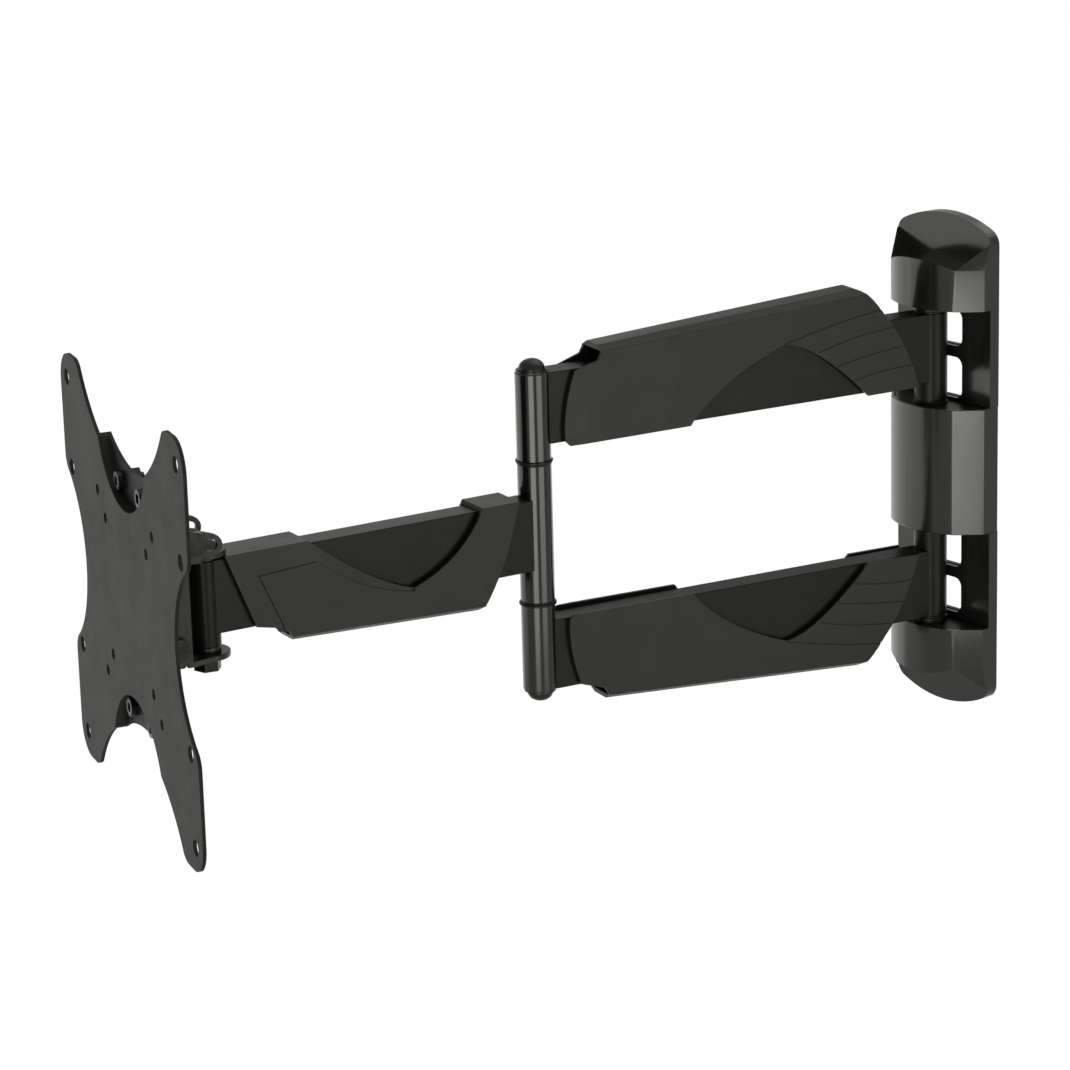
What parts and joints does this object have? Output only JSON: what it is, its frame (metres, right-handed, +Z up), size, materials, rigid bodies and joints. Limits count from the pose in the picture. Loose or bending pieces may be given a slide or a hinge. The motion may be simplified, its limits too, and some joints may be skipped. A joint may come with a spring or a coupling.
{
  "type": "full motion tv wall mount",
  "caption": "Full motion wall mount: wall plate with hooded covers, double swing arm, forearm, and a swivelling, tilting head with a waisted screen plate.",
  "frame": {"origin": "middle of the wall plate's back face, on the wall", "axes": "+Y into the wall, so the mount reaches toward -Y; +Z up; +X to the right of a person facing the wall"},
  "size_m": [0.245, 0.5417, 0.291],
  "materials": {
    "black_steel": "satin powder coat",
    "tube_paint": "satin paint",
    "post_gloss": "gloss paint",
    "wall_cover_plastic": "semi-gloss moulding",
    "arm_cover_plastic": "fine moulded satin",
    "black_nylon": "moulded",
    "plate_powder_coat": "fine powder coat",
    "blackened_fastener": "black oxide"
  },
  "bodies": {
    "root": {"wall_plate": "black_steel", "top_hinge_bracket": "black_steel", "middle_hinge_bracket": "black_steel", "bottom_hinge_bracket": "black_steel", "top_wall_cover": "wall_cover_plastic", "middle_wall_cover": "wall_cover_plastic", "bottom_wall_cover": "wall_cover_plastic", "upper_hinge_bolt": "blackened_fastener", "lower_hinge_bolt": "blackened_fastener", "hinge_nuts": "blackened_fastener", "hinge_washers": "blackened_fastener"},
    "link": {"upper_arm_tube": "tube_paint", "upper_wall_knuckle": "tube_paint", "upper_post_tube": "post_gloss", "lower_arm_tube": "tube_paint", "lower_wall_knuckle": "tube_paint", "lower_post_tube": "post_gloss", "hinge_bushings": "black_nylon", "elbow_bolt": "blackened_fastener", "elbow_washers": "blackened_fastener", "post_caps": "black_nylon", "upper_cover_near": "arm_cover_plastic", "upper_cover_far": "arm_cover_plastic", "lower_cover_near": "arm_cover_plastic", "lower_cover_far": "arm_cover_plastic"},
    "forearm": {"forearm_tube": "tube_paint", "middle_post_tube": "post_gloss", "head_tube": "tube_paint", "elbow_bushings": "black_nylon", "head_bushings": "black_nylon", "forearm_cover_near": "arm_cover_plastic", "forearm_cover_far": "arm_cover_plastic"},
    "head": {"head_yoke": "black_steel", "pan_bolt": "blackened_fastener", "pan_nut": "blackened_fastener", "pan_washer": "blackened_fastener", "tilt_bolt": "blackened_fastener", "tilt_nut": "blackened_fastener", "lock_bolt": "blackened_fastener", "lock_nut": "blackened_fastener", "tilt_friction_washers": "black_nylon"},
    "screen": {"tilt_bracket": "black_steel", "screen_plate": "plate_powder_coat", "plate_bolts": "blackened_fastener", "plate_nuts": "blackened_fastener"}
  },
  "joints": [
    {"name": "wall_swivel", "type": "hinge", "parent": "root", "child": "link", "pos_m": [0, -0.0175, 0], "axis": [0, 0, 1], "range_deg": [-72.5, 97.5]},
    {"name": "elbow_swivel", "type": "hinge", "parent": "link", "child": "forearm", "pos_m": [-0.05563, -0.26841, 0], "axis": [0, 0, 1], "range_deg": [-133, 127]},
    {"name": "head_pan", "type": "hinge", "parent": "forearm", "child": "head", "pos_m": [-0.08896, -0.46764, 0], "axis": [0, 0, 1], "range_deg": [-71, 89]},
    {"name": "head_tilt", "type": "hinge", "parent": "head", "child": "screen", "pos_m": [-0.09563, -0.48755, -0.021], "axis": [0.9483, -0.3173, 0], "range_deg": [-5, 10]}
  ]
}
